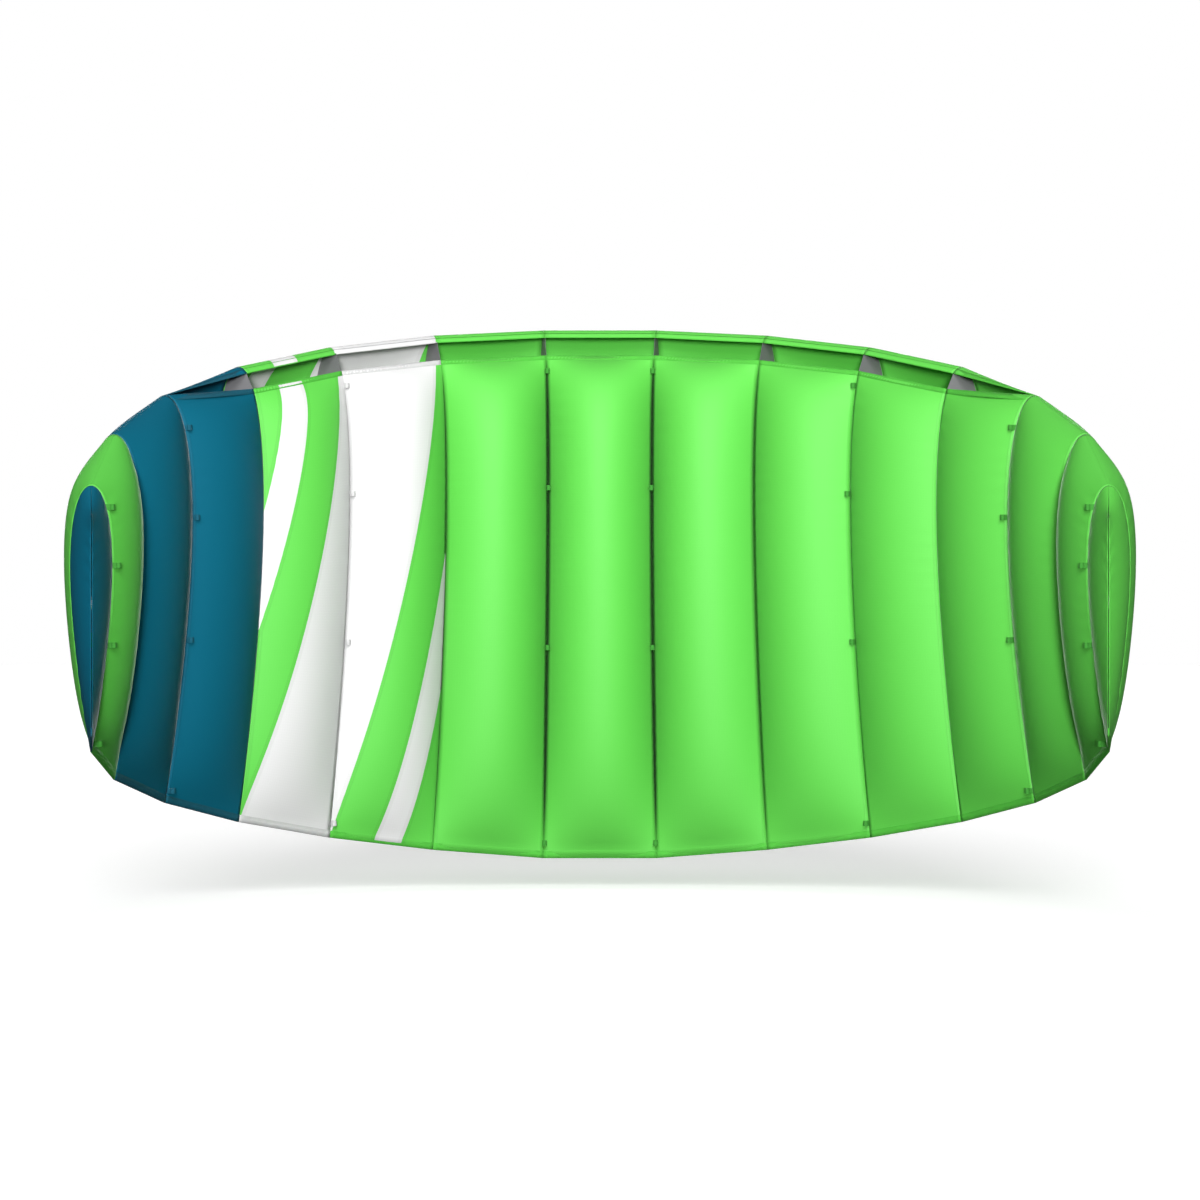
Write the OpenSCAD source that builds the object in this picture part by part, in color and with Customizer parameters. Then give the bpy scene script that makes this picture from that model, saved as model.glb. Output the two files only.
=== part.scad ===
// Ram-air foil kite: an arched wing of sewn cells, each cell an upper and a lower cloth panel between two ribs.
// +X runs along the span, +Z from the trailing edge to the nose, and the lower skin and the pilot are on the -Y side.
// The origin lies on the lower skin at mid-span, at the height of the main bridle row.

/* [Arch of the canopy] */
// Radius of the arc on which the chords of all ribs lie
arch_radius = 885; // [700:5:1200]
// Angle of that arc covered by one cell
cell_angle = 14.4; // [10:0.1:15]
// Width of the tapering tip cell as a share of a full cell
tip_share = 0.5; // [0.4:0.05:0.8]

/* [Plan shape] */
// Chord of the wing at mid-span
root_chord = 1040; // [800:10:1400]
// Distance of the nose above the main bridle row at mid-span
nose_height = 312; // [250:2:400]
// Drop of the nose from mid-span to the outermost rib
nose_sweep = 330; // [200:5:360]
// Power of the curve that the nose line follows
nose_power = 2.1; // [1.6:0.1:3]
// Rise of the trailing edge from mid-span to the outermost rib
tail_sweep = 248; // [150:2:280]
// Power of the curve that the trailing edge follows
tail_power = 1.6; // [1.4:0.1:3]

/* [Aerofoil] */
// Thickness of the wing as a share of its chord
thickness_ratio = 0.155; // [0.12:0.005:0.18]
// Half the thickness of the closed trailing edge
tail_half = 2; // [1.5:0.1:3]
// Height of a tip panel's billow as a share of the cell's width
tip_billow = 0.11; // [0.05:0.01:0.13]
// Height of the middle panels' billow as a share of the cell's width
middle_billow = 0.2; // [0.1:0.01:0.22]
// Billow of the narrow tip cell's panels as a share of a full outer cell's
tip_cell_billow = 0.25; // [0.1:0.05:0.6]

/* [Air intakes] */
// Place of the intake's upper lip as a share of the chord
upper_lip = 0.015; // [0.01:0.001:0.02]
// Place of the intake's lower lip as a share of the chord
lower_lip = 0.05; // [0.04:0.005:0.08]
// Width of the tape on each lip as a share of the chord
tape_share = 0.007; // [0.004:0.001:0.009]

/* [Cloth] */
// Thickness of a skin panel
skin = 1.2; // [0.8:0.1:1.4]
// Thickness of a rib
rib_cloth = 1.5; // [1.5:0.1:2]
// Gap between a folding rib and the panels beyond it
fold_gap = 0.3; // [0.2:0.05:0.5]

/* [Bridle tabs] */
// Radius of the loop that a bridle line is tied through
tab_bore = 3; // [2:0.5:4]
// Thickness of the webbing
tab_webbing = 1.4; // [1:0.1:1.4]
// Width of the webbing
tab_width = 10; // [6:1:14]
// Distance from the lower seam to the middle of the loop
tab_reach = 11; // [10:0.5:16]

/* [Hidden] */
full_cells = 6;
tip_cell = full_cells + 1;
outer_rib = full_cells + 0.5;
tip_edge = outer_rib + tip_share;
open_ribs = 4;
belly_share = 0.3;
arch_y = root_chord * thickness_ratio / 2 - arch_radius;
cell_width = arch_radius * cell_angle * PI / 180;
billow_spread = 2.4;
nose_fullness = 0.04;
tail_fullness = 10;
fold_ribs = [1.5, 3.5, 5.5];
panel_rows = 13;
panel_columns = 4;
slope_step = 0.001;
port_places = [0.14, 0.28, 0.43, 0.58, 0.71];
port_share = 0.45;
tab_rows = [0.08, belly_share, 0.6, 0.97];
lip_cells = open_ribs - 1;
$fn = 48;

SIDES = ["left", "right"];
TAB_PARTS = [["inner", 2.5], ["outer", 4.5], ["tip", 6.5]];

// Stations along the span are counted in cells from mid-span, so the ribs stand at 0.5, 1.5 and so on.
function span_share(s) = abs(s) / outer_rib;
function nose_z(s) = nose_height - nose_sweep * pow(span_share(s), nose_power);
function tail_z(s) = nose_height - root_chord + tail_sweep * pow(span_share(s), tail_power);
function chord(s) = nose_z(s) - tail_z(s);

// Half thickness of a symmetric four-digit aerofoil at a share t of the chord.
function half_thickness(s, t) =
    5 * thickness_ratio * chord(s)
        * (0.2969 * sqrt(t) - 0.126 * t - 0.3516 * t * t + 0.2843 * pow(t, 3) - 0.1036 * pow(t, 4))
        + tail_half * t;

// The outline runs from v = -1 at the tail, over the upper side, round the nose at v = 0, to v = 1 at the tail.
function outline(s, v) = [-sign(v) * half_thickness(s, v * v), nose_z(s) - chord(s) * v * v];
function outward(s, v) =
    let (d = outline(s, v + slope_step) - outline(s, v - slope_step)) [d[1], -d[0]] / norm(d);

// A skin point in a rib's plane, or on the closed edge of the tip, where side is 1 above and -1 below.
function skin_point(s, v, side, depth) =
    s > outer_rib
        ? [side * (tail_half - depth), nose_z(s) - chord(s) * v * v]
        : outline(s, v) - depth * outward(s, v);

// Turns a place in the plane of station s into a place in space; aside moves it along the span.
function in_space(s, p, aside) =
    let (a = s * cell_angle, r = arch_radius + p[0])
    [r * sin(a) + aside * cos(a), arch_y + r * cos(a) - aside * sin(a), p[1]];

// The lips of the intake as values of v; beyond the open ribs they meet at the nose.
function upper_end(s) = abs(s) < open_ribs ? sqrt(upper_lip) : 0;
function lower_start(s) = abs(s) < open_ribs ? sqrt(lower_lip) : 0;

// How full the cloth billows at v: not at all from lip to lip round the nose, nor at the tail.
function fullness(v, lip) =
    let (along = v < 0 ? v * v : max(0, v * v - lip * lip))
    (1 - exp(-along / nose_fullness)) * (1 - pow(v * v, tail_fullness));

function blend(a, b, u) = a * (1 - u) + b * u;
// The billow's height in cell k, which falls from the middle cells to the tips.
function billow(k) =
    (k == tip_cell ? tip_cell_billow : 1) * cell_width
        * (tip_billow + (middle_billow - tip_billow) * exp(-pow(k / billow_spread, 2)));
function outer_station(k) = k == tip_cell ? tip_edge : k + 0.5;

// A point of cell k's cloth at u across the cell, between the v of its inner rib and the v of its outer rib.
function cloth_point(k, v_in, v_out, u, side, depth) =
    let (s_in = k - 0.5, s_out = outer_station(k))
    let (gap_in = rib_cloth / 2 + (len(search(s_in, fold_ribs)) > 0 ? fold_gap : 0), gap_out = k == tip_cell ? 0 : rib_cloth / 2)
    let (a = in_space(s_in, skin_point(s_in, v_in, side, depth), gap_in))
    let (b = in_space(s_out, skin_point(s_out, v_out, side, depth), -gap_out))
    let (lip = blend(lower_start(s_in), lower_start(s_out), u))
    let (rise = side * billow(k) * 4 * u * (1 - u) * fullness(blend(v_in, v_out, u), lip))
    let (middle = (s_in + s_out) / 2 * cell_angle)
    blend(a, b, u) + rise * [sin(middle), cos(middle), 0];

// A closed shell of cloth in cell k, from v0 to v1, which are each [at the inner rib, at the outer rib].
module cloth(k, v0, v1, side, rows) {
    columns = panel_columns;
    stride = columns + 1;
    layer = (rows + 1) * stride;
    points = [
        for (depth = [0, skin], i = [0:rows], j = [0:columns])
            cloth_point(k, blend(v0[0], v1[0], i / rows), blend(v0[1], v1[1], i / rows), j / columns, side, depth)
    ];
    function strip(a, b, c, d) = [[a, b, c], [a, c, d]];
    faces = [
        for (i = [0:rows - 1], j = [0:columns - 1])
            let (p = i * stride + j)
            each concat(
                strip(p, p + 1, p + stride + 1, p + stride),
                strip(layer + p, layer + p + stride, layer + p + stride + 1, layer + p + 1)
            ),
        for (i = [0:rows - 1])
            let (p = i * stride, q = p + columns)
            each concat(
                strip(p, p + stride, layer + p + stride, layer + p),
                strip(q, layer + q, layer + q + stride, q + stride)
            ),
        for (j = [0:columns - 1])
            let (p = j, q = rows * stride + j)
            each concat(
                strip(p, layer + p, layer + p + 1, p + 1),
                strip(q, q + 1, layer + q + 1, layer + q)
            )
    ];
    polyhedron(points, faces, convexity = 4);
}

module on_side(side) {
    if (side == "left") mirror([1, 0, 0]) children();
    else children();
}

// Children drawn here have x along the radius of the arch, y towards the nose and z along the span.
module in_rib_plane(s) {
    translate([0, arch_y, 0]) rotate([0, 0, 90 - s * cell_angle]) rotate([90, 0, 0]) children();
}

function cell_colour(side, k) = side == "left" && (k == 4 || k == 5 || k == tip_cell) ? "teal" : "limegreen";

// The upper panel wraps round the nose to the upper lip of the intake.
module upper_panel(side, k) {
    ends = [upper_end(k - 0.5), upper_end(outer_station(k))];
    color(cell_colour(side, k)) on_side(side) cloth(k, [-1, -1], ends, 1, panel_rows);
}

// The lower panel runs from the lower lip, or from the nose of a closed cell, to the tail.
module lower_panel(side, k) {
    starts = [lower_start(k - 0.5), lower_start(outer_station(k))];
    color(cell_colour(side, k)) on_side(side) cloth(k, starts, [1, 1], -1, panel_rows);
}

// The cut outline of a rib, with its straight edge across the intake.
function rib_outline(s) = [
    for (i = [0:panel_rows]) outline(s, blend(-1, upper_end(s), i / panel_rows)) + [arch_radius, 0],
    for (i = [upper_end(s) == lower_start(s) ? 1 : 0:panel_rows])
        outline(s, blend(lower_start(s), 1, i / panel_rows)) + [arch_radius, 0]
];

module rib_blank(s, thickness) {
    in_rib_plane(s) linear_extrude(thickness, center = true) polygon(rib_outline(s));
}

// A rib, with the ports that let air pass from cell to cell.
module rib(s) {
    color("gainsboro") difference() {
        rib_blank(s, rib_cloth);
        for (t = port_places)
            in_rib_plane(s)
                translate([arch_radius, nose_z(s) - chord(s) * t, 0])
                    cylinder(h = 3 * rib_cloth, r = port_share * half_thickness(s, t), center = true);
    }
}

// The tapes that bind both lips of one cell's intake.
module intake_tapes(k) {
    v_upper = sqrt(upper_lip);
    v_lower = sqrt(lower_lip);
    v_upper_tape = sqrt(upper_lip + tape_share);
    v_lower_tape = sqrt(lower_lip - tape_share);
    color("dimgray") cloth(k, [v_upper, v_upper], [v_upper_tape, v_upper_tape], 1, 1);
    color("dimgray") cloth(k, [v_lower_tape, v_lower_tape], [v_lower, v_lower], 1, 1);
}

// One webbing loop sewn to the lower seam of rib s at a share t of the chord; its bore runs towards the nose.
module bridle_tab(s, t) {
    seam = arch_radius - half_thickness(s, t);
    wall = tab_webbing;
    color("black") difference() {
        in_rib_plane(s) translate([seam - tab_reach, nose_z(s) - chord(s) * t, 0]) union() {
            rotate([90, 0, 0]) cylinder(h = tab_width, r = tab_bore + wall, center = true);
            translate([tab_bore, -tab_width / 2, -wall / 2]) cube([tab_reach, tab_width, wall]);
        }
        in_rib_plane(s) translate([seam - tab_reach, nose_z(s) - chord(s) * t, 0])
            rotate([90, 0, 0]) cylinder(h = 2 * tab_width, r = tab_bore, center = true);
        rib_blank(s, 4 * wall);
    }
}

module bridle_tabs(s) {
    for (t = tab_rows) bridle_tab(s, t);
}

upper_panel("centre", 0);  // upper_panel_centre
lower_panel("centre", 0);  // lower_panel_centre
for (side = SIDES, k = [1:tip_cell]) {
    upper_panel(side, k);
    lower_panel(side, k);
    on_side(side) rib(k - 0.5);
}
for (k = [-1:1]) intake_tapes(k);  // intake_tapes_centre
for (side = SIDES)
    on_side(side) for (k = [2:lip_cells]) intake_tapes(k);
for (side = SIDES) on_side(side) bridle_tabs(0.5);  // bridle_tabs_centre
for (side = SIDES, part = TAB_PARTS)
    on_side(side) bridle_tabs(part[1]);
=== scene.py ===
"""The looks of the ram-air foil kite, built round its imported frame. Lengths are in metres, as in the frame.

Stations along the span count cells from mid-span, so the ribs stand at 0.5, 1.5 and so on. The left half
mirrors the right one. Round a rib's outline, v runs from -1 at the tail over the upper skin to 0 at the
nose, and on over the lower skin to 1 at the tail. The square of v is the share of the chord.
"""
import math

import bmesh
import bpy
import numpy as np
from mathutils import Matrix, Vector
from mathutils.geometry import tessellate_polygon


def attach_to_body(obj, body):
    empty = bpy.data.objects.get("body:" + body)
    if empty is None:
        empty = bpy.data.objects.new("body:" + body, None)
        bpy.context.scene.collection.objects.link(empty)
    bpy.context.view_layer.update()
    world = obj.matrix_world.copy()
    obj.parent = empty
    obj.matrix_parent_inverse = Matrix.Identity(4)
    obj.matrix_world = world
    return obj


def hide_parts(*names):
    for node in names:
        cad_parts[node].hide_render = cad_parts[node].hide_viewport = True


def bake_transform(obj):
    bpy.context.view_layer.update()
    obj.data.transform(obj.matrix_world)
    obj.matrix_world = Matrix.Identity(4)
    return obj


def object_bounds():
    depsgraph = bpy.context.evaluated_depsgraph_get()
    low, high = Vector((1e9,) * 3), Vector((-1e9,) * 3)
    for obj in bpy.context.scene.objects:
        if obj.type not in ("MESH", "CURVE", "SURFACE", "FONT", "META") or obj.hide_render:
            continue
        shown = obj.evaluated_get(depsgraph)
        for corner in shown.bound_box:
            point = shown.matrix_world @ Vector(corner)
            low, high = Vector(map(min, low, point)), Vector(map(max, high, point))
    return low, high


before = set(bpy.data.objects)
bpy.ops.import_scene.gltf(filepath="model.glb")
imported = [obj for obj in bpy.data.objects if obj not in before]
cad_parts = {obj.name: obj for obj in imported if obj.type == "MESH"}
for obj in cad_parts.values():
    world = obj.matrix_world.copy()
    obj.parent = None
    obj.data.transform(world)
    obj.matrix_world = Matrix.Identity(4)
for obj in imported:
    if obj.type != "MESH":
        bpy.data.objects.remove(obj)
cad_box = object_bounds()

# The driving dimensions of the canopy
ARCH_RADIUS = 0.885
CELL_ANGLE = math.radians(14.4)
ROOT_CHORD = 1.04
NOSE_HEIGHT = 0.312
NOSE_SWEEP, NOSE_POWER = 0.33, 2.1
TAIL_SWEEP, TAIL_POWER = 0.248, 1.6
THICKNESS_RATIO = 0.155
TAIL_HALF = 0.0008
TIP_BILLOW, MIDDLE_BILLOW, BILLOW_SPREAD = 0.11, 0.2, 2.4
TIP_CELL_BILLOW = 0.25
NOSE_FULLNESS = 0.04
TAIL_FULLNESS = 10
UPPER_LIP, LOWER_LIP = 0.015, 0.05
TIP_CELL = 7
OUTER_RIB = TIP_CELL - 0.5
TIP_EDGE = OUTER_RIB + 0.5
OPEN_RIBS = 4
FOLD_RIBS = (1.5, 3.5, 5.5)
CELL_WIDTH = ARCH_RADIUS * CELL_ANGLE
ARCH_Y = ROOT_CHORD * THICKNESS_RATIO / 2 - ARCH_RADIUS

# The cloth, its seams and its hems
CLOTH = 0.0004
SEAM_ALLOWANCE = 0.008
STITCH_ROWS = (0.0025, 0.0065)
STITCH_HALF_WIDTH = 0.0005
STITCH_PITCH = 0.004
RIPSTOP_PITCH, WEAVE_PITCH = 0.005, 0.0006
HEM_OFFSET = 0.0006
LIP_HEM = 0.009
LIP_OVERHANG = 0.0015
TAIL_HEM = 0.014
PUCKER_HEIGHT = 0.0007
PUCKER_REACH = 0.012
PUCKER_PITCH = 0.031
# The v of a row of points across each panel, near the thickest part of the wing
WIDTH_ROW = 0.55
ROWS, COLUMNS = 96, 30
# A colour border closer than this to a panel's nose or tail gets no row of its own
BORDER_MARGIN = 0.02
# A swell of the middle cells that only the shading shows, for the tight round crowns of the inflated cloth
SHADED_SWELL, SWELL_SPREAD = 0.13, 2.1
SLOPE_STEP = 0.001


# ---------------------------------------------------------------- shape of the canopy

def share(s):
    return abs(s) / OUTER_RIB


def nose_z(s):
    return NOSE_HEIGHT - NOSE_SWEEP * share(s) ** NOSE_POWER


def chord(s):
    return ROOT_CHORD - NOSE_SWEEP * share(s) ** NOSE_POWER - TAIL_SWEEP * share(s) ** TAIL_POWER


def half_thickness(s, t):
    """Half thickness of a symmetric four-digit aerofoil at a share t of the chord."""
    profile = 0.2969 * np.sqrt(t) - 0.126 * t - 0.3516 * t**2 + 0.2843 * t**3 - 0.1036 * t**4
    return 5 * THICKNESS_RATIO * chord(s) * profile + TAIL_HALF * t


def outline(s, v):
    """Distance out from the chord line, and height, round the rib at station s."""
    return np.stack([-np.sign(v) * half_thickness(s, v * v), nose_z(s) - chord(s) * v * v], -1)


def skin_point(s, v, side, depth):
    """A point of a skin in a rib's plane, or on the tip's closed edge; depth is how far it lies inside."""
    if s > OUTER_RIB:
        edge = np.broadcast_to(side * (TAIL_HALF - depth), np.shape(v))
        return np.stack([edge, nose_z(s) - chord(s) * v * v], -1)
    slope = outline(s, v + SLOPE_STEP) - outline(s, v - SLOPE_STEP)
    outward = np.stack([slope[..., 1], -slope[..., 0]], -1)
    outward /= np.linalg.norm(outward, axis=-1, keepdims=True)
    return outline(s, v) - depth * outward


def in_space(s, out, z, aside=0.0):
    """A place in the plane of station s, moved aside along the span, in the frame's axes."""
    angle = s * CELL_ANGLE
    r = ARCH_RADIUS + np.asarray(out)
    x = r * math.sin(angle) + aside * math.cos(angle)
    y = ARCH_Y + r * math.cos(angle) - aside * math.sin(angle)
    return np.stack([x, y, np.broadcast_to(z, np.shape(x))], -1)


def lips(s):
    """The v of the intake's upper and lower lip; a closed rib has none, and both skins meet at its nose."""
    return (math.sqrt(UPPER_LIP), math.sqrt(LOWER_LIP)) if abs(s) < OPEN_RIBS else (0.0, 0.0)


def stations(k):
    return k - 0.5, (TIP_EDGE if k == TIP_CELL else k + 0.5)


def billow(k):
    """The billow's height in cell k, which falls from the middle cells to the tips."""
    scale = CELL_WIDTH * (TIP_CELL_BILLOW if k == TIP_CELL else 1)
    return scale * (TIP_BILLOW + (MIDDLE_BILLOW - TIP_BILLOW) * math.exp(-(k / BILLOW_SPREAD) ** 2))


def fullness(v, lip):
    """How far the cloth billows: not between the lips and the nose, nor over the tail hem."""
    flat_from = 1 - TAIL_HEM
    t = v * v
    along = np.where(v < 0, t, np.maximum(0, t - lip * lip))
    tail = 1 - np.minimum(1, t / flat_from) ** TAIL_FULLNESS
    return (1 - np.exp(-along / NOSE_FULLNESS)) * tail


def pucker(k, side, u, along):
    """Small folds that run in from the seams at the ribs, where the thread gathers the cloth."""
    height = 0
    for seam, distance in ((k - 0.5, u * CELL_WIDTH), (k + 0.5, (1 - u) * CELL_WIDTH)):
        reach = distance / PUCKER_REACH
        drift = 1.7 * seam + 1.3 * np.sin(9 * along + 3 * seam + side)
        beat = np.sin(2 * math.pi * along / PUCKER_PITCH + drift)
        swell = 0.6 + 0.4 * np.sin(23 * along + 5 * seam)
        height = height + PUCKER_HEIGHT * swell * beat * reach * np.exp(1 - reach)
    return height


def cloth_point(k, side, u, v_in, v_out, depth=0.0, gathered=1.0):
    """Points of cell k's skin at u across it; v_in and v_out are the v at its inner and outer station."""
    s_in, s_out = stations(k)
    a = skin_point(s_in, v_in, side, depth)
    b = skin_point(s_out, v_out, side, depth)
    a = in_space(s_in, a[..., 0], a[..., 1])
    b = in_space(s_out, b[..., 0], b[..., 1])
    v = v_in * (1 - u) + v_out * u
    lip = lips(s_in)[1] * (1 - u) + lips(s_out)[1] * u
    full = fullness(v, lip)
    rise = billow(k) * 4 * u * (1 - u) * full
    rise = rise + gathered * full * pucker(k, side, u, v * v * chord(k))
    middle = (s_in + s_out) / 2 * CELL_ANGLE
    out = np.array([math.sin(middle), math.cos(middle), 0])
    return a * (1 - u)[..., None] + b * u[..., None] + (side * rise)[..., None] * out


# ---------------------------------------------------------------- meshes

def mirrored(points, hand):
    return points * np.array([hand, 1, 1])


def make_mesh(name, points, faces, hand, kinds=None, materials=(), smooth=True, layers=None):
    """A mesh object from points and faces; hand is -1 on the left half, where the faces turn over."""
    mesh = bpy.data.meshes.new(name)
    turned = [tuple(f) if hand > 0 else tuple(reversed(f)) for f in faces]
    mesh.from_pydata([tuple(p) for p in mirrored(np.asarray(points, float), hand)], [], turned)
    for layer, values in (layers or {}).items():
        if np.ndim(values) == 2:
            mesh.attributes.new(layer, "FLOAT_VECTOR", "POINT").data.foreach_set("vector", np.ravel(values))
        else:
            mesh.attributes.new(layer, "FLOAT", "POINT").data.foreach_set("value", np.ravel(values))
    for material in materials:
        mesh.materials.append(material)
    if kinds is not None:
        mesh.polygons.foreach_set("material_index", kinds)
    mesh.polygons.foreach_set("use_smooth", [smooth] * len(mesh.polygons))
    obj = bpy.data.objects.new(name, mesh)
    bpy.context.scene.collection.objects.link(obj)
    return obj


def merge(obj, distance=1e-6):
    """Joins points that coincide, and drops the faces that this closes up."""
    b = bmesh.new()
    b.from_mesh(obj.data)
    bmesh.ops.remove_doubles(b, verts=b.verts, dist=distance)
    bmesh.ops.dissolve_degenerate(b, edges=b.edges, dist=distance)
    loose = [v for v in b.verts if not v.link_faces]
    bmesh.ops.delete(b, geom=loose, context="VERTS")
    b.to_mesh(obj.data)
    b.free()


def thicken(obj, thickness):
    modifier = obj.modifiers.new("thickness", "SOLIDIFY")
    modifier.thickness = thickness
    modifier.offset = -1


# ---------------------------------------------------------------- materials

def node_tools(tree):
    """Short ways to add a node, and a chain of math nodes, to a tree."""

    def add(kind, **values):
        node = tree.nodes.new(kind)
        for key, value in values.items():
            if key in node.inputs:
                node.inputs[key].default_value = value
            else:
                setattr(node, key, value)
        return node

    def math_node(operation, a, b=None):
        node = add("ShaderNodeMath", operation=operation)
        for socket, value in zip(node.inputs, (a, b)):
            if value is None:
                continue
            if isinstance(value, (int, float)):
                socket.default_value = value
            else:
                tree.links.new(value, socket)
        return node.outputs[0]

    return add, math_node


def cloth_material(name, colour, thread, roughness=0.7, specular=0.5):
    """Coated ripstop: a square grid of thicker threads in a fine weave, doubled and sewn at the seams."""
    material = bpy.data.materials.new(name)
    material.use_nodes = True
    tree = material.node_tree
    shader = tree.nodes["Principled BSDF"]
    shader.inputs["Roughness"].default_value = roughness
    shader.inputs["Specular IOR Level"].default_value = specular
    add, calc = node_tools(tree)

    place = add("ShaderNodeAttribute", attribute_name="cloth_m")
    split = add("ShaderNodeSeparateXYZ")
    tree.links.new(place.outputs["Vector"], split.inputs[0])
    edge = add("ShaderNodeAttribute", attribute_name="edge_m").outputs["Fac"]
    across, along = split.outputs["X"], split.outputs["Y"]

    def grid_line(distance):
        phase = calc("FRACT", calc("DIVIDE", distance, RIPSTOP_PITCH))
        return calc("GREATER_THAN", calc("ABSOLUTE", calc("SUBTRACT", phase, 0.5)), 0.42)

    ripstop = calc("MAXIMUM", grid_line(across), grid_line(along))
    weave = calc(
        "MULTIPLY",
        calc("SINE", calc("MULTIPLY", across, 2 * math.pi / WEAVE_PITCH)),
        calc("SINE", calc("MULTIPLY", along, 2 * math.pi / WEAVE_PITCH)),
    )
    allowance = calc("LESS_THAN", edge, SEAM_ALLOWANCE)

    def stitch_row(offset):
        near = calc("LESS_THAN", calc("ABSOLUTE", calc("SUBTRACT", edge, offset)), STITCH_HALF_WIDTH)
        dash = calc("LESS_THAN", calc("FRACT", calc("DIVIDE", along, STITCH_PITCH)), 0.65)
        return calc("MULTIPLY", near, dash)

    stitches = calc("MAXIMUM", *[stitch_row(offset) for offset in STITCH_ROWS])

    cloud = add("ShaderNodeTexNoise", Scale=3.0, Detail=3.0)
    tree.links.new(place.outputs["Vector"], cloud.inputs["Vector"])
    grain = add("ShaderNodeTexNoise", Scale=900.0, Detail=2.0)
    tree.links.new(place.outputs["Vector"], grain.inputs["Vector"])

    shade = calc("ADD", 0.97, calc("MULTIPLY", calc("SUBTRACT", cloud.outputs["Fac"], 0.5), 0.08))
    shade = calc("ADD", shade, calc("MULTIPLY", calc("SUBTRACT", grain.outputs["Fac"], 0.5), 0.05))
    shade = calc("ADD", shade, calc("MULTIPLY", ripstop, 0.035))
    shade = calc("SUBTRACT", shade, calc("MULTIPLY", allowance, 0.07))
    tint = add("ShaderNodeVectorMath", operation="SCALE")
    tint.inputs[0].default_value = colour[:3]
    tree.links.new(shade, tint.inputs["Scale"])
    mix = add("ShaderNodeMix", data_type="RGBA")
    tree.links.new(stitches, mix.inputs["Factor"])
    tree.links.new(tint.outputs[0], mix.inputs["A"])
    mix.inputs["B"].default_value = (*thread, 1)
    tree.links.new(mix.outputs["Result"], shader.inputs["Base Color"])

    height = calc("ADD", calc("MULTIPLY", ripstop, 0.5), calc("MULTIPLY", weave, 0.12))
    height = calc("ADD", height, calc("MULTIPLY", allowance, 1.5))
    height = calc("ADD", height, calc("MULTIPLY", stitches, 1.2))
    bump = add("ShaderNodeBump", Strength=0.35, Distance=0.0002)
    tree.links.new(height, bump.inputs["Height"])

    swell = add("ShaderNodeAttribute", attribute_name="swell_m").outputs["Fac"]
    off_middle = calc("DIVIDE", across, CELL_WIDTH / 2)
    crown = calc("MULTIPLY", swell, calc("SUBTRACT", 1.0, calc("MULTIPLY", off_middle, off_middle)))
    taut = add("ShaderNodeBump", Strength=1.0, Distance=1.0)
    tree.links.new(crown, taut.inputs["Height"])
    tree.links.new(bump.outputs[0], taut.inputs["Normal"])
    tree.links.new(taut.outputs[0], shader.inputs["Normal"])
    return material


def tape_material(name, colour, rib_pitch=0.0012):
    """Woven tape or webbing: fine cross ribs and a slight mottle."""
    material = bpy.data.materials.new(name)
    material.use_nodes = True
    tree = material.node_tree
    shader = tree.nodes["Principled BSDF"]
    shader.inputs["Roughness"].default_value = 0.8
    shader.inputs["Specular IOR Level"].default_value = 0.25
    add, calc = node_tools(tree)
    place = add("ShaderNodeTexCoord").outputs["Object"]
    split = add("ShaderNodeSeparateXYZ")
    tree.links.new(place, split.inputs[0])
    total = calc("ADD", calc("ADD", split.outputs["X"], split.outputs["Y"]), split.outputs["Z"])
    ribs = calc("SINE", calc("MULTIPLY", total, 2 * math.pi / rib_pitch))
    cloud = add("ShaderNodeTexNoise", Scale=60.0, Detail=3.0)
    tree.links.new(place, cloud.inputs["Vector"])
    shade = calc("ADD", 0.9, calc("MULTIPLY", ribs, 0.08))
    shade = calc("ADD", shade, calc("MULTIPLY", calc("SUBTRACT", cloud.outputs["Fac"], 0.5), 0.2))
    tint = add("ShaderNodeVectorMath", operation="SCALE")
    tint.inputs[0].default_value = colour
    tree.links.new(shade, tint.inputs["Scale"])
    tree.links.new(tint.outputs[0], shader.inputs["Base Color"])
    bump = add("ShaderNodeBump", Strength=0.5, Distance=0.0003)
    tree.links.new(ribs, bump.inputs["Height"])
    tree.links.new(bump.outputs[0], shader.inputs["Normal"])
    return material


GREEN = cloth_material("green_ripstop", (0.070, 0.400, 0.040), (0.055, 0.33, 0.03))
TEAL = cloth_material("teal_ripstop", (0.0002, 0.080, 0.130), (0.0002, 0.06, 0.10), specular=0.12)
WHITE = cloth_material("white_ripstop", (0.50, 0.50, 0.50), (0.45, 0.45, 0.45))
RIB_CLOTH = cloth_material("rib_ripstop", (0.13, 0.13, 0.135), (0.2, 0.2, 0.2), roughness=0.6)
PORT_TAPE = tape_material("port_tape", (0.2, 0.2, 0.21))
WEBBING = tape_material("green_webbing", (0.030, 0.20, 0.02), 0.0016)
HEM_GREEN = tape_material("green_tape", (0.060, 0.36, 0.035))
HEM_TEAL = tape_material("teal_tape", (0.0003, 0.07, 0.11))
HEM_WHITE = tape_material("white_tape", (0.46, 0.46, 0.46))
HEMS = {GREEN: HEM_GREEN, TEAL: HEM_TEAL, WHITE: HEM_WHITE}
TAB_WEBBING = {"bridle_tabs_left_inner": HEM_WHITE, "bridle_tabs_left_outer": HEM_TEAL}


# ---------------------------------------------------------------- colour plan

# As shares of a cell's width
SASH_GAP, STRIPE_WIDTH = 0.42, 0.26


def plain_colour(k, hand):
    return TEAL if hand < 0 and k in (4, 5, TIP_CELL) else GREEN


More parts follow.
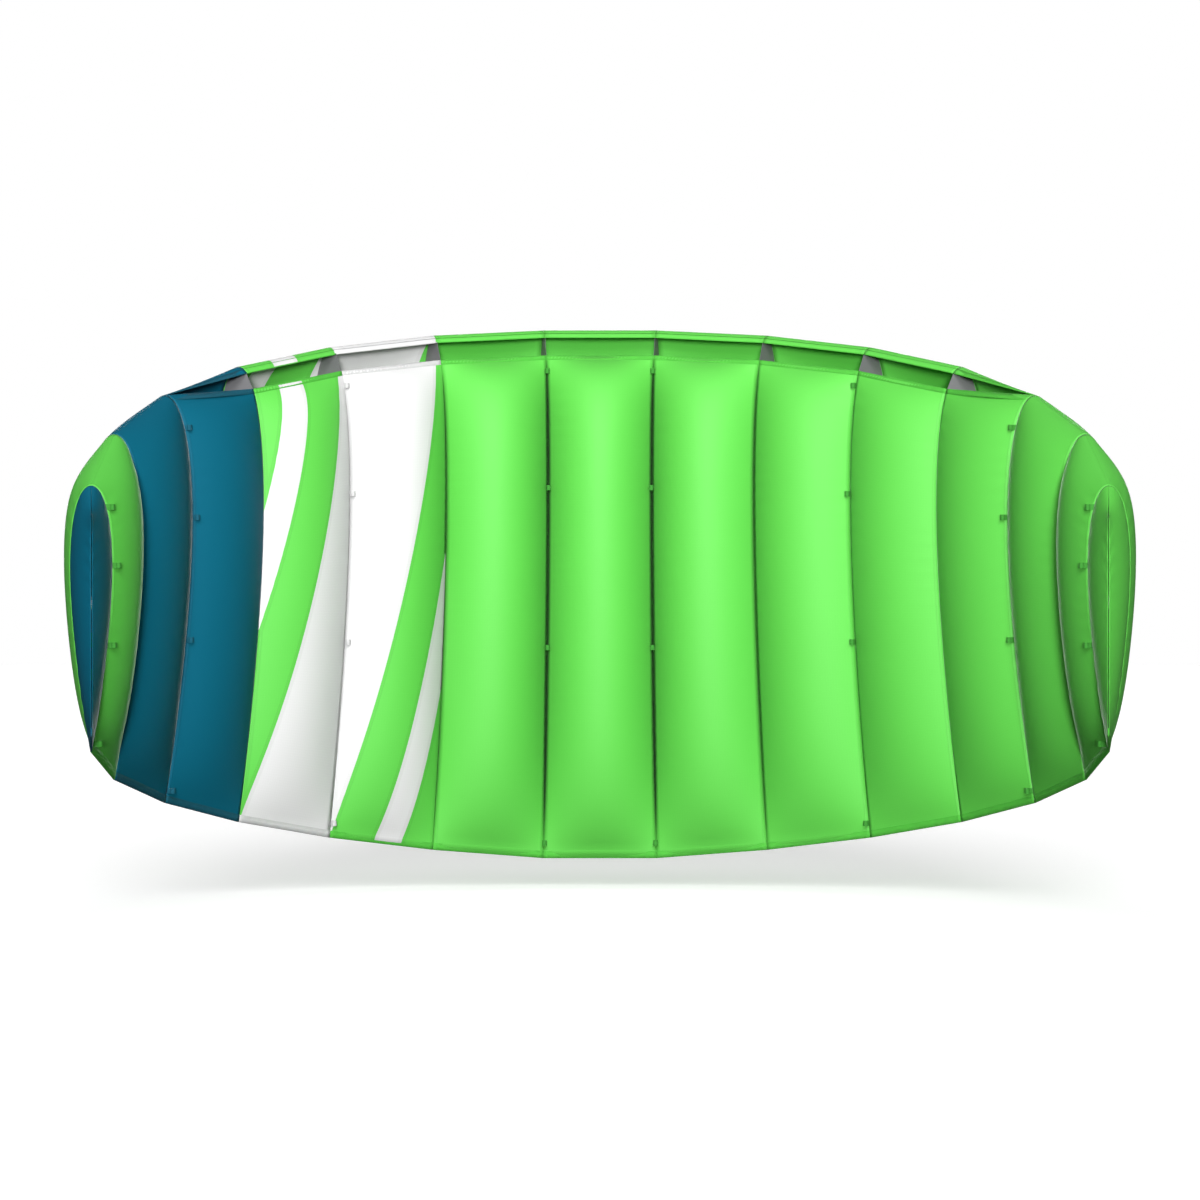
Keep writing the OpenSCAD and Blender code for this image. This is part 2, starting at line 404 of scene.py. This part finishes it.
def colour_borders(k, hand):
    """The cell's colours from its inner to its outer rib, and the place of each border across its nose.

    Each border runs a full cell's width outwards from nose to tail. A broad white sash leaves the nose in
    the second cell from mid-span on the left and reaches the tail in the third. A slim stripe lies on
    either side of it."""
    if hand < 0 and k == 2:
        return [GREEN, WHITE, GREEN, WHITE], [-SASH_GAP - STRIPE_WIDTH, -SASH_GAP, 0]
    if hand < 0 and k == 3:
        return [WHITE, GREEN, WHITE, GREEN], [0, SASH_GAP, SASH_GAP + STRIPE_WIDTH]
    return [plain_colour(k, hand)], []


# ---------------------------------------------------------------- bodies

def body_name(k, hand):
    """The body that carries cell k's outer rib."""
    if k < 2:
        return "centre"
    part = {2: "inner", 3: "inner", 4: "outer", 5: "outer", 6: "tip", 7: "tip"}[k]
    return ("right_" if hand > 0 else "left_") + part


def node_name(kind, k, hand):
    return f"{kind}_centre" if k == 0 else f"{kind}_{'right' if hand > 0 else 'left'}_{k}"


def attach(obj, k, hand):
    """Cell k rides on its body; the first cell past a folding rib is left unparented, placed in the frame's
    axes.
    """
    s_in, s_out = stations(k)
    if s_in not in FOLD_RIBS:
        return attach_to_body(obj, body_name(k, hand))
    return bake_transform(obj)


# ---------------------------------------------------------------- skin panels

def panel_rows(k, side, borders):
    """The v of each row at the inner and the outer station, with rows where a colour border meets a rib."""
    (upper_in, lower_in), (upper_out, lower_out) = [lips(s) for s in stations(k)]
    first, last_in, last_out = (-1.0, upper_in, upper_out) if side > 0 else (1.0, lower_in, lower_out)
    rows = np.linspace(0, 1, ROWS + 1)
    places = [t for b in borders for t in (-b, 1 - b)]
    crossings = [math.sqrt(t) for t in places if BORDER_MARGIN < t < 1 - BORDER_MARGIN]
    extra = [(abs(first) - c) / (abs(first) - last_in * (1 if side < 0 else -1)) for c in crossings]
    rows = np.unique(np.concatenate([rows, [q for q in extra if 0 < q < 1]]))
    return first + (last_in - first) * rows, first + (last_out - first) * rows


def skin_panel(k, side, hand):
    """One skin panel, made of a grid for each of its colours, which share their borders."""
    colours, borders = colour_borders(k, hand)
    v_in, v_out = panel_rows(k, side, borders)
    t = v_in * v_in
    limits = [np.zeros_like(t)] + [np.clip(b + t, 0, 1) for b in borders] + [np.ones_like(t)]
    points, places, edges, swells, faces, kinds = [], [], [], [], [], []
    slots = sorted(set(colours), key=lambda m: m.name)
    middle = np.full_like(t, 0.5)
    spine = cloth_point(k, side, middle, v_in, v_out, gathered=0)
    along = np.concatenate([[0], np.cumsum(np.linalg.norm(np.diff(spine, axis=0), axis=1))])
    for colour, low, high in zip(colours, limits, limits[1:]):
        columns = COLUMNS if len(colours) == 1 else COLUMNS // 2
        w = np.linspace(0, 1, columns + 1)
        u = low[:, None] * (1 - w) + high[:, None] * w
        base = sum(len(p) for p in points)
        points.append(cloth_point(k, side, u, v_in[:, None] + 0 * u, v_out[:, None] + 0 * u).reshape(-1, 3))
        places.append(np.stack([(u - 0.5) * CELL_WIDTH, along[:, None] + 0 * u, 0 * u], -1).reshape(-1, 3))
        nearest = np.minimum(u, 1 - u)
        for limit in limits[1:-1]:
            inside = ((limit > 0) & (limit < 1))[:, None]
            nearest = np.where(inside, np.minimum(nearest, abs(u - limit[:, None])), nearest)
        edges.append((nearest * CELL_WIDTH).ravel())
        full = fullness(v_in, lips(stations(k)[0])[1])[:, None] + 0 * u
        swells.append((SHADED_SWELL * CELL_WIDTH * math.exp(-(k / SWELL_SPREAD) ** 2) * full).ravel())
        for i in range(len(t) - 1):
            if high[i] - low[i] < 1e-9 and high[i + 1] - low[i + 1] < 1e-9:
                continue
            for j in range(columns):
                p = base + i * (columns + 1) + j
                faces.append((p, p + columns + 1, p + columns + 2, p + 1))
                kinds.append(slots.index(colour))
    layers = {
        "cloth_m": np.concatenate(places),
        "edge_m": np.concatenate(edges),
        "swell_m": np.concatenate(swells),
    }
    kind = "upper_skin" if side > 0 else "lower_skin"
    name = node_name(kind, k, hand)
    # The rows of both panels climb to the nose, so the upper one's faces turn over to look outwards as well.
    turned = faces if side < 0 else [tuple(reversed(f)) for f in faces]
    obj = make_mesh(name, np.concatenate(points), turned, hand, kinds, slots, layers=layers)
    merge(obj)
    thicken(obj, CLOTH)
    attach(obj, k, hand)
    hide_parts(node_name("upper_panel" if side > 0 else "lower_panel", k, hand))
    row_u = np.linspace(0, 1, 60)
    row_v = np.full(len(row_u), -side * WIDTH_ROW)
    row = cloth_point(k, side, row_u, row_v, row_v)
    return obj


# ---------------------------------------------------------------- hems and tapes

def tube(name, rings, k, hand, material):
    """A closed strip through rings of points that run across the cell, each once round the strip."""
    rings = np.asarray(rings)
    count, size = rings.shape[:2]
    faces = []
    for i in range(count - 1):
        for j in range(size):
            a, b = i * size + j, i * size + (j + 1) % size
            faces.append((a, a + size, b + size, b))
    faces.append(tuple(range(size)))
    faces.append(tuple((count - 1) * size + j for j in reversed(range(size))))
    obj = make_mesh(name, rings.reshape(-1, 3), faces, hand, materials=[material])
    b = bmesh.new()
    b.from_mesh(obj.data)
    bmesh.ops.recalc_face_normals(b, faces=b.faces)
    b.to_mesh(obj.data)
    b.free()
    for polygon in obj.data.polygons:
        polygon.use_smooth = len(polygon.vertices) == 4
    attach(obj, k, hand)
    return obj


def across(k, rows, depths):
    """Rings across cell k; each row gives the v at its inner and outer station, and the wing's side."""
    u = np.linspace(0, 1, COLUMNS + 1)
    lines = []
    for (v_in, v_out, side), depth in zip(rows, depths):
        lines.append(cloth_point(k, side, u, v_in + 0 * u, v_out + 0 * u, depth))
    return np.stack(lines, 1)


def lip_hem(k, hand, which):
    """The tape folded over one lip of the intake."""
    pair = [lips(s) for s in stations(k)]
    index = 0 if which == "upper" else 1
    toward = -1 if which == "upper" else 1
    side = 1 if which == "upper" else -1
    lip = [p[index] for p in pair]
    far = []
    for s, v in zip(stations(k), lip):
        t = max(0.0, v * v + toward * LIP_HEM / chord(s))
        far.append(math.sqrt(t))
    near = [v - toward * LIP_OVERHANG for v in lip]
    rows = [(*far, side), (*lip, side), (*near, side), (*lip, side), (*far, side)]
    depths = [-HEM_OFFSET, -HEM_OFFSET, CLOTH / 2, CLOTH + HEM_OFFSET, CLOTH + HEM_OFFSET]
    name = node_name(f"{which}_lip_hem", k, hand)
    colours = colour_borders(k, hand)[0]
    colour = colours[-1] if len(colours) == 1 or k == 2 else GREEN
    return tube(name, across(k, rows, depths), k, hand, HEMS[colour])


def tail_hem(k, hand):
    """The folded hem that closes both skins along the trailing edge."""
    far = [math.sqrt(1 - TAIL_HEM / chord(s)) for s in stations(k)]
    rows = [(-far[0], -far[1], 1), (-1, -1, 1), (1, 1, -1), (far[0], far[1], -1)]
    depths = [-HEM_OFFSET] * 4
    colours = colour_borders(k, hand)[0]
    colour = colours[0] if k == 3 or len(colours) == 1 else GREEN
    name = node_name("tail_hem", k, hand)
    return tube(name, across(k, rows, depths), k, hand, HEMS[colour])


# ---------------------------------------------------------------- ribs

PORTS = (0.14, 0.28, 0.43, 0.58, 0.71)
PORT_SHARE = 0.45
PORT_TAPE_WIDTH = 0.006
# The ribs end this far below the outside of the skins, so that no rib edge shows through a seam.
RIB_INSET = 0.0014


def circle(centre, radius, count=40):
    a = np.linspace(0, 2 * math.pi, count, endpoint=False)
    return np.stack([centre[0] + radius * np.cos(a), centre[1] + radius * np.sin(a)], -1)


def rib(number, hand):
    """One rib with its ports and their tape rings."""
    s = number - 0.5
    upper, lower = lips(s)
    v = np.concatenate([np.linspace(-1, upper, 70), np.linspace(lower, 1, 70)[0 if lower else 1:]])
    border = skin_point(s, v, 1, RIB_INSET)
    ports = [((0.0, nose_z(s) - chord(s) * t), PORT_SHARE * float(half_thickness(s, t))) for t in PORTS]
    loops = [border] + [circle(c, r) for c, r in ports]
    flat = np.concatenate(loops)
    faces = tessellate_polygon([[Vector((x, y, 0)) for x, y in loop] for loop in loops])
    points = in_space(s, flat[:, 0], flat[:, 1], -CLOTH / 2)
    layers = {
        "cloth_m": np.stack([flat[:, 0], flat[:, 1], 0 * flat[:, 0]], -1),
        "edge_m": np.full(len(flat), 1.0),
        "swell_m": np.zeros(len(flat)),
    }
    name = node_name("rib_cloth", number, hand)
    obj = make_mesh(name, points, faces, hand, materials=[RIB_CLOTH], smooth=False, layers=layers)
    thicken(obj, CLOTH)
    body = body_name(number - 1, hand)
    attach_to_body(obj, body)
    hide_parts(node_name("rib", number, hand))
    for index, (centre, radius) in enumerate(ports):
        ring = port_ring(f"{name}_port_{index + 1}", s, centre, radius, hand)
        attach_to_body(ring, body)


def port_ring(name, s, centre, radius, hand):
    """The tape sewn round a port, a little proud of the rib on both faces."""
    half = CLOTH
    rings = []
    for r, aside in ((radius, half), (radius + PORT_TAPE_WIDTH, half),
                     (radius + PORT_TAPE_WIDTH, -half), (radius, -half)):
        loop = circle(centre, r)
        rings.append(in_space(s, loop[:, 0], loop[:, 1], aside))
    points = np.concatenate(rings)
    count = len(rings[0])
    faces = []
    for i in range(4):
        for j in range(count):
            a, b = i * count + j, i * count + (j + 1) % count
            c, d = ((i + 1) % 4) * count + (j + 1) % count, ((i + 1) % 4) * count + j
            faces.append((a, b, c, d))
    return make_mesh(name, points, faces, hand, materials=[PORT_TAPE], smooth=False)


# ---------------------------------------------------------------- build

CELLS = [(0, 1)] + [(k, hand) for hand in (-1, 1) for k in range(1, TIP_CELL + 1)]
for k, hand in CELLS:
    skin_panel(k, 1, hand)
    skin_panel(k, -1, hand)
    tail_hem(k, hand)
    if k <= OPEN_RIBS:
        [lip_hem(k, hand, which) for which in ("upper", "lower")]
for hand in (-1, 1):
    for number in range(1, TIP_CELL + 1):
        rib(number, hand)
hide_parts("intake_tapes_centre")
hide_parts("intake_tapes_left")
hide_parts("intake_tapes_right")

for name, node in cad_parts.items():
    if name.startswith("bridle_tabs"):
        node.data.materials.clear()
        node.data.materials.append(TAB_WEBBING.get(name, WEBBING))


# ---------------------------------------------------------------- stage, lights and camera

def plain_material(name, colour, glow):
    material = bpy.data.materials.new(name)
    material.use_nodes = True
    shader = material.node_tree.nodes["Principled BSDF"]
    shader.inputs["Base Color"].default_value = (*colour, 1)
    shader.inputs["Roughness"].default_value = 1.0
    shader.inputs["Specular IOR Level"].default_value = 0.0
    shader.inputs["Emission Color"].default_value = (1, 1, 1, 1)
    shader.inputs["Emission Strength"].default_value = glow
    return material


FLOOR_RADIUS = 26.0
FLOOR_GAP = 0.06
FLOOR_GLOW, BACKDROP_GLOW = 0.36, 1.0
AMBIENT = 0.04
floor_z = cad_box[0].z - FLOOR_GAP
bpy.ops.mesh.primitive_circle_add(
    vertices=96, radius=FLOOR_RADIUS, fill_type="NGON", location=(0, 0, floor_z)
)
floor = bpy.context.object
floor.name = "floor"
floor.data.materials.append(plain_material("floor_white", (0.8, 0.8, 0.8), FLOOR_GLOW))
bpy.ops.mesh.primitive_uv_sphere_add(segments=64, ring_count=32, radius=FLOOR_RADIUS + 1)
dome = bpy.context.object
dome.name = "backdrop"
dome.data.materials.append(plain_material("backdrop_white", (0, 0, 0), BACKDROP_GLOW))
for obj in (floor, dome):
    obj.visible_diffuse = False
    obj.visible_glossy = False
dome.visible_shadow = False

world = bpy.data.worlds.new("studio")
world.use_nodes = True
world.node_tree.nodes["Background"].inputs["Color"].default_value = (1, 1, 1, 1)
world.node_tree.nodes["Background"].inputs["Strength"].default_value = AMBIENT
bpy.context.scene.world = world


def sun(name, towards, strength, angle, shadows=True):
    data = bpy.data.lights.new(name, "SUN")
    data.use_shadow = shadows
    data.energy = strength
    data.angle = math.radians(angle)
    obj = bpy.data.objects.new(name, data)
    obj.rotation_mode = "QUATERNION"
    obj.rotation_quaternion = Vector(towards).to_track_quat("-Z", "Y")
    bpy.context.scene.collection.objects.link(obj)
    return obj


sun("key", (0.0, 1.0, -0.4), 3.6, 25)
sun("front", (0.0, 1.0, -0.02), 4.3, 8)
sun("top", (0.04, 0.15, -1.0), 0.8, 50)
sun("rear", (0.0, -1.0, -0.15), 2.6, 30, shadows=False)

CAMERA_DISTANCE = 8.138
CAMERA_HEIGHT = -0.206
camera = bpy.data.objects.new("camera", bpy.data.cameras.new("camera"))
camera.data.sensor_width = 36.0
camera.data.lens = 124.4
camera.data.shift_y = -0.005
camera.data.clip_end = 100
camera.location = (0, ROOT_CHORD * THICKNESS_RATIO / 2 - CAMERA_DISTANCE, CAMERA_HEIGHT)
camera.rotation_euler = (math.pi / 2, 0, 0)
bpy.context.scene.collection.objects.link(camera)
bpy.context.scene.camera = camera
bpy.context.scene.view_settings.view_transform = "Standard"
